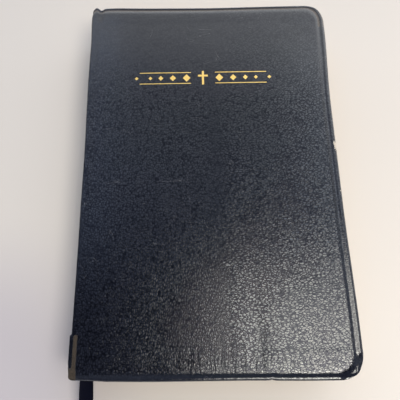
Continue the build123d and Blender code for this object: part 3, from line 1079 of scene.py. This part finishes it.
def endpaper_material():
    """Heavier ivory endpaper with a laid texture and a faint stain at its edges."""
    shader = Shader("endpaper")
    laid = shader.wave(0.55, "X", 1.2, detail_scale=1.5)
    fibre = shader.noise(0.9, 5.0)
    cloud = shader.noise(0.03, 3.0)
    tone = shader.blend(cloud, rgb(0.74, 0.69, 0.57), rgb(0.82, 0.785, 0.685))
    tone = shader.blend(shader.times(fibre, 0.3), tone, rgb(0.62, 0.55, 0.43))
    y = shader.split(shader.place)[1]
    edge = shader.between(shader.size_of(y), BLOCK_HEAD_Y - 14.0, HEAD_Y)
    tone = shader.blend(shader.times(edge, 0.3), tone, rgb(0.55, 0.44, 0.28))
    height = shader.plus(shader.times(laid, 0.4), fibre)
    normal = shader.bump(height, 0.03, 0.6)
    return shader.finish(Base_Color=tone, Roughness=0.7, Specular_IOR_Level=0.3, Normal=normal)


def make_endpaper(front, material):
    """One folded endpaper: glued down in the cover, hinged in the gutter, free on the block."""
    side = "front" if front else "back"
    paste_low, paste_high = corners_mm(f"{side}_pastedown")
    fly_low, fly_high = corners_mm(f"{side}_flyleaf")
    paste_z = (paste_low[2] + paste_high[2]) / 2
    fly_z = (fly_low[2] + fly_high[2]) / 2
    middle_z, fold_rise = (paste_z + fly_z) / 2, (paste_z - fly_z) / 2
    rows = []
    for x in rounded_x_lines(ENDPAPER_FOLD_X, fly_high[0], LEAF_CORNER_RADIUS, 50)[::-1]:
        rows.append((x, fly_z, half_height(x, fly_high[0], LEAF_CORNER_RADIUS, fly_high[1])))
    for turn in np.linspace(-math.pi / 2, math.pi / 2, 13)[1:-1]:
        share = float(ramp(math.sin(turn), -1, 1))
        rows.append((ENDPAPER_FOLD_X - abs(fold_rise) * math.cos(turn),
                     middle_z + fold_rise * math.sin(turn),
                     fly_high[1] + (paste_high[1] - fly_high[1]) * share))
    for x in rounded_x_lines(ENDPAPER_FOLD_X, paste_high[0], PASTEDOWN_CORNER_RADIUS, 50):
        rows.append((x, paste_z, half_height(x, paste_high[0], PASTEDOWN_CORNER_RADIUS,
                                             paste_high[1])))
    path, halves = np.array(rows)[:, :2], np.array(rows)[:, 2]
    points, faces = thin_sheet(path, across_path(path, ENDPAPER_THICKNESS / 2), halves)
    paper = new_piece(f"{side}_endpaper", points, faces, [material], crease_degrees=60)
    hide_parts(f"{side}_pastedown", f"{side}_flyleaf")
    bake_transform(paper)


# ---------------------------------------------------------------- gold ornament
ORNAMENT_LOW, ORNAMENT_HIGH = corners_mm("cover_ornament")
ORNAMENT_X = (ORNAMENT_LOW[0] + ORNAMENT_HIGH[0]) / 2
ORNAMENT_Y = (ORNAMENT_LOW[1] + ORNAMENT_HIGH[1]) / 2
CROSS_HEIGHT, CROSS_SPAN, CROSS_ARM, CROSS_ARM_LIFT = 9.0, 5.8, 1.2, 1.4
LOZENGES = ((9.5, 4.4, 5.0), (17.5, 3.6, 4.0), (24.5, 2.8, 3.2), (30.5, 2.2, 2.4))
RULE_SPAN, RULE_OFFSET, RULE_WIDTH = (7.0, 36.5), 3.6, 0.45
END_DOT_X, END_DOT_REACH = 38.2, 1.08
FOIL_STAND = 0.022


def gold_material():
    """Gold foil stamped into the grain: bright, a little pitted, with small losses."""
    shader = Shader("gold_foil")
    pebbles = shader.cells(1.25, "F1", shader.vector("MULTIPLY", shader.place, (0.82, 1.12, 1.0)))
    fine = shader.noise(5.0, 3.0)
    tone = shader.blend(shader.noise(0.4, 3.0), rgb(0.76, 0.52, 0.13), rgb(0.92, 0.72, 0.29))
    losses = shader.between(shader.noise(1.9, 4.0), 0.66, 0.70)
    tone = shader.blend(losses, tone, rgb(0.05, 0.04, 0.03))
    metallic = shader.minus(1.0, losses)
    roughness = shader.between(fine, 0.3, 0.7, 0.30, 0.48)
    height = shader.plus(pebbles, shader.times(fine, 0.4))
    normal = shader.bump(height, 0.05, 0.45)
    return shader.finish(Base_Color=tone, Metallic=metallic, Roughness=roughness, Normal=normal)


def foil_patch(corners, steps_u, steps_v):
    """Thin closed patch between four corners (x, y), laid on the cover's leather."""
    a, b, c, d = (np.array(corner, float) for corner in corners)
    u = np.linspace(0, 1, steps_u + 1)[:, None, None]
    v = np.linspace(0, 1, steps_v + 1)[None, :, None]
    flat = (a * (1 - u) + b * u) * (1 - v) + (d * (1 - u) + c * u) * v
    x, y = flat[..., 0] + ORNAMENT_X, flat[..., 1] + ORNAMENT_Y
    s = x - SHOULDER_X
    surface = leather_points(s, y, np.zeros_like(s), True)
    over, under = surface.copy(), surface.copy()
    over[..., 2] += FOIL_STAND
    under[..., 2] -= FOIL_STAND
    points = np.concatenate([over.reshape(-1, 3), under.reshape(-1, 3)])
    return points, two_layer_faces(steps_u + 1, steps_v + 1)


def make_ornament(material):
    """The stamped ornament: a plain cross between rows of lozenges and fine rules."""
    patches = []

    def rectangle(x0, x1, y0, y1, steps_u, steps_v):
        patches.append(foil_patch([(x0, y0), (x1, y0), (x1, y1), (x0, y1)], steps_u, steps_v))

    def diamond(x, half_wide, half_high, steps):
        corners = [(x - half_wide, 0), (x, -half_high), (x + half_wide, 0), (x, half_high)]
        patches.append(foil_patch(corners, steps, steps))

    half_arm, half_span, half_height = CROSS_ARM / 2, CROSS_SPAN / 2, CROSS_HEIGHT / 2
    arm_low, arm_high = CROSS_ARM_LIFT - half_arm, CROSS_ARM_LIFT + half_arm
    rectangle(-half_arm, half_arm, -half_height, arm_low, 3, 12)
    rectangle(-half_span, half_span, arm_low, arm_high, 12, 3)
    rectangle(-half_arm, half_arm, arm_high, half_height, 3, 6)
    for sign in (-1, 1):
        for x, width, height in LOZENGES:
            diamond(sign * x, width / 2, height / 2, 6)
        for offset in (-RULE_OFFSET, RULE_OFFSET):
            inner, outer = sorted((sign * RULE_SPAN[0], sign * RULE_SPAN[1]))
            rectangle(inner, outer, offset - RULE_WIDTH / 2, offset + RULE_WIDTH / 2, 60, 1)
        diamond(sign * END_DOT_X, END_DOT_REACH, END_DOT_REACH, 4)
    points, faces, start = [], [], 0
    for patch_points, patch_faces in patches:
        points.append(patch_points)
        faces += [tuple(k + start for k in face) for face in patch_faces]
        start += len(patch_points)
    ornament = new_piece("gold_ornament", np.concatenate(points), faces, [material])
    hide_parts("cover_ornament")
    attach(ornament, "front_cover")


# ---------------------------------------------------------------- light
BRIGHTEST_DIRECTION = Vector((0.30, 0.85, -0.43)).normalized()

# How bright the surroundings are, from away from the brightest direction (0) to along it (1).
SURROUNDINGS = (
    (0.0, 0.30), (0.16, 0.14), (0.235, 0.09), (0.29, 0.14), (0.34, 0.24), (0.385, 0.40),
    (0.42, 0.52), (0.455, 0.62), (0.50, 0.68), (0.535, 0.78), (0.565, 0.92), (0.585, 1.05),
    (0.625, 1.25), (0.645, 1.40), (0.72, 2.3), (0.82, 2.3), (1.0, 1.3),
)

# Centre (m), size along x and y (m), power (W) and colour of each soft panel. All face the floor.
PANELS = (
    ((0.299, -0.196, 0.828), (0.51, 0.46), 4.6, (1.0, 0.88, 0.72)),
    ((0.400, -0.345, 0.820), (0.42, 0.18), 2.9, (1.0, 0.87, 0.70)),
    ((0.410, 0.380, 0.828), (0.31, 0.58), 0.60, (1.0, 0.98, 0.97)),
    ((-0.400, 0.450, 0.828), (0.30, 0.80), 0.28, (0.78, 0.92, 1.20)),
)


def make_panels():
    """Bright soft panels to the right and nearer than the book, and faint ones at its sides."""
    for number, (centre, size, power, colour) in enumerate(PANELS):
        data = bpy.data.lights.new(f"panel_{number}", "AREA")
        data.shape = "RECTANGLE"
        data.size, data.size_y = size
        data.energy = power
        data.color = colour
        panel = bpy.data.objects.new(data.name, data)
        panel.location = centre
        scene.collection.objects.link(panel)


def make_surroundings():
    """A bright wall beyond the head of the book, and dim ones elsewhere and overhead."""
    world = bpy.data.worlds.new("studio")
    world.use_nodes = True
    tree = world.node_tree
    direction = tree.nodes.new("ShaderNodeTexCoord").outputs["Generated"]
    aligned = tree.nodes.new("ShaderNodeVectorMath")
    aligned.operation = "DOT_PRODUCT"
    tree.links.new(direction, aligned.inputs[0])
    aligned.inputs[1].default_value = BRIGHTEST_DIRECTION
    fall = tree.nodes.new("ShaderNodeValToRGB")
    place = tree.nodes.new("ShaderNodeMath")
    place.operation = "MULTIPLY_ADD"
    tree.links.new(aligned.outputs["Value"], place.inputs[0])
    place.inputs[1].default_value = 0.5
    place.inputs[2].default_value = 0.5
    tree.links.new(place.outputs["Value"], fall.inputs["Fac"])
    for position, _ in SURROUNDINGS[1:-1]:
        fall.color_ramp.elements.new(position)
    for element, (position, level) in zip(fall.color_ramp.elements, SURROUNDINGS):
        element.position = position
        dimness = 1 - min(level, 1.0)
        element.color = ((1.03 - 0.20 * dimness) * level, (0.98 - 0.03 * dimness) * level,
                         (0.93 + 0.35 * dimness) * level, 1.0)
    background = tree.nodes["Background"]
    tree.links.new(fall.outputs["Color"], background.inputs["Color"])
    background.inputs["Strength"].default_value = 1.0
    scene.world = world
    scene.view_settings.view_transform = "Standard"


# ---------------------------------------------------------------- carried-over CAD pieces
def cloth_material(name, tone_low, tone_high, pitch):
    """Plain woven cloth."""
    shader = Shader(name, on_cad=True)
    weave = shader.most(shader.wave(pitch, "Y", 0.8, detail=1.5),
                        shader.wave(pitch, "Z", 0.8, detail=1.5))
    tone = shader.blend(weave, tone_low, tone_high)
    return shader.finish(Base_Color=tone, Roughness=0.85, Sheen_Weight=0.2,
                         Normal=shader.bump(weave, 0.08, 0.8))


def card_material(name, tone_low, tone_high):
    """Pulpy card or kraft paper."""
    shader = Shader(name, on_cad=True)
    pulp = shader.noise(0.8, 6.0)
    specks = shader.between(shader.noise(3.0, 2.0), 0.62, 0.70)
    tone = shader.blend(pulp, tone_low, tone_high)
    tone = shader.blend(shader.times(specks, 0.5), tone, tone_low)
    return shader.finish(Base_Color=tone, Roughness=0.85, Normal=shader.bump(pulp, 0.05, 0.6))


def paint_hidden_pieces():
    """Materials of the pieces under the leather and behind the spine."""
    board = card_material("grey_board", rgb(0.22, 0.19, 0.15), rgb(0.42, 0.37, 0.30))
    filler = card_material("filler_card", rgb(0.40, 0.33, 0.22), rgb(0.60, 0.52, 0.38))
    kraft = card_material("kraft_lining", rgb(0.24, 0.15, 0.08), rgb(0.42, 0.29, 0.17))
    mull = cloth_material("mull", rgb(0.35, 0.32, 0.25), rgb(0.74, 0.70, 0.60), 0.5)
    tape = cloth_material("tape", rgb(0.55, 0.49, 0.36), rgb(0.80, 0.75, 0.62), 1.2)
    thread = cloth_material("thread", rgb(0.55, 0.52, 0.44), rgb(0.84, 0.81, 0.72), 2.5)
    band = cloth_material("band_cloth", rgb(0.42, 0.27, 0.07), rgb(0.78, 0.62, 0.30), 0.7)
    for side in ("front", "back"):
        paint_node(f"{side}_cover_board", board)
        paint_node(f"{side}_cover_filler", filler)
        paint_node(f"spine_lining_{side}", kraft)
        paint_node(f"spine_mull_{side}", mull)
        paint_node(f"sewing_tapes_{side}", tape)
        paint_node(f"sewing_thread_{side}", thread)
        paint_node(f"headband_{side}", band)
        paint_node(f"tailband_{side}", band)


make_camera()
make_ribbon_tail()
make_floor()
leather = leather_material()
make_cover_leather(True, leather)
make_cover_leather(False, leather)
make_spine_leather(leather)
make_text_block()
endpaper = endpaper_material()
make_endpaper(True, endpaper)
make_endpaper(False, endpaper)
make_ornament(gold_material())
paint_hidden_pieces()
make_panels()
make_surroundings()
